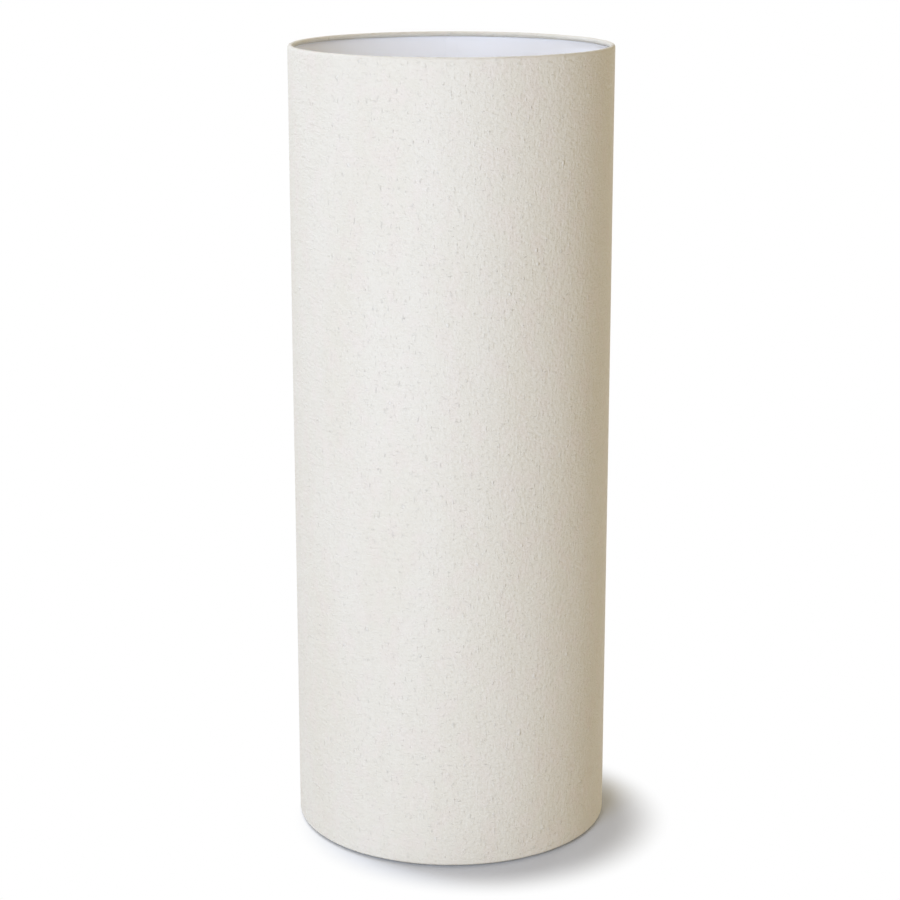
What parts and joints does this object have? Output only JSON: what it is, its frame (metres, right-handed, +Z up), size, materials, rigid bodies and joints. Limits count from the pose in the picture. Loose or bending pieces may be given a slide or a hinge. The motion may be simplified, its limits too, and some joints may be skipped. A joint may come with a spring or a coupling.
{
  "type": "column floor lamp",
  "caption": "Tall cylindrical floor lamp: a natural linen drum from floor to rim that lifts off a flat steel stand with a lampholder and bulb.",
  "frame": {"origin": "on the floor, at the lamp's vertical axis", "axes": "+Z up along the lamp's axis, -Y towards the viewer, +X to the viewer's right"},
  "size_m": [0.4, 0.3999, 1],
  "materials": {
    "linen": "plain-woven natural linen with slubs",
    "liner_film": "smooth white laminate",
    "shade_wire": "white powder coat on round wire",
    "white_coat": "fine white powder coat",
    "pad_rubber": "matt",
    "zinc_steel": "bright zinc plate",
    "holder_plastic": "moulded, satin",
    "insert_plastic": "moulded, matt",
    "brass_sheet": "pressed sheet",
    "nickel_cap": "rolled sheet",
    "dark_insulator": "glazed",
    "bulb_plastic": "moulded",
    "board_aluminium": "white solder mask",
    "opal_diffuser": "opal, frosted"
  },
  "bodies": {
    "stand": {"base_plate": "white_coat", "foot_pad_1": "pad_rubber", "foot_pad_2": "pad_rubber", "foot_pad_3": "pad_rubber", "foot_pad_4": "pad_rubber", "base_collar": "white_coat", "cord_gland": "holder_plastic", "gland_nut": "holder_plastic", "threaded_rod": "zinc_steel", "base_nut": "zinc_steel", "lock_washer": "zinc_steel", "rod_locknut": "zinc_steel", "stem_tube": "white_coat", "stem_cap": "white_coat", "holder_cap": "holder_plastic", "holder_grub_screw": "zinc_steel", "holder_insert": "insert_plastic", "holder_shell": "brass_sheet", "holder_skirt": "holder_plastic", "centre_contact": "brass_sheet", "terminal_screws": "brass_sheet"},
    "bulb": {"bulb_contact": "brass_sheet", "bulb_insulator": "dark_insulator", "bulb_screw_cap": "nickel_cap", "bulb_housing": "bulb_plastic", "led_board": "board_aluminium", "bulb_globe": "opal_diffuser"},
    "shade": {"linen_cover": "linen", "liner": "liner_film", "top_ring": "shade_wire", "bottom_ring": "shade_wire", "spider_ring": "shade_wire", "spider_arm_1": "shade_wire", "spider_arm_2": "shade_wire", "spider_arm_3": "shade_wire"}
  },
  "joints": [
    {"name": "shade_lift", "type": "slide", "parent": "stand", "child": "shade", "axis": [0, 0, 1], "range_m": [0, 0.55]},
    {"name": "bulb_screw", "type": "hinge", "parent": "stand", "child": "bulb", "pos_m": [0, 0, 0.45], "axis": [0, 0, 1], "range_deg": [0, 1800]}
  ]
}
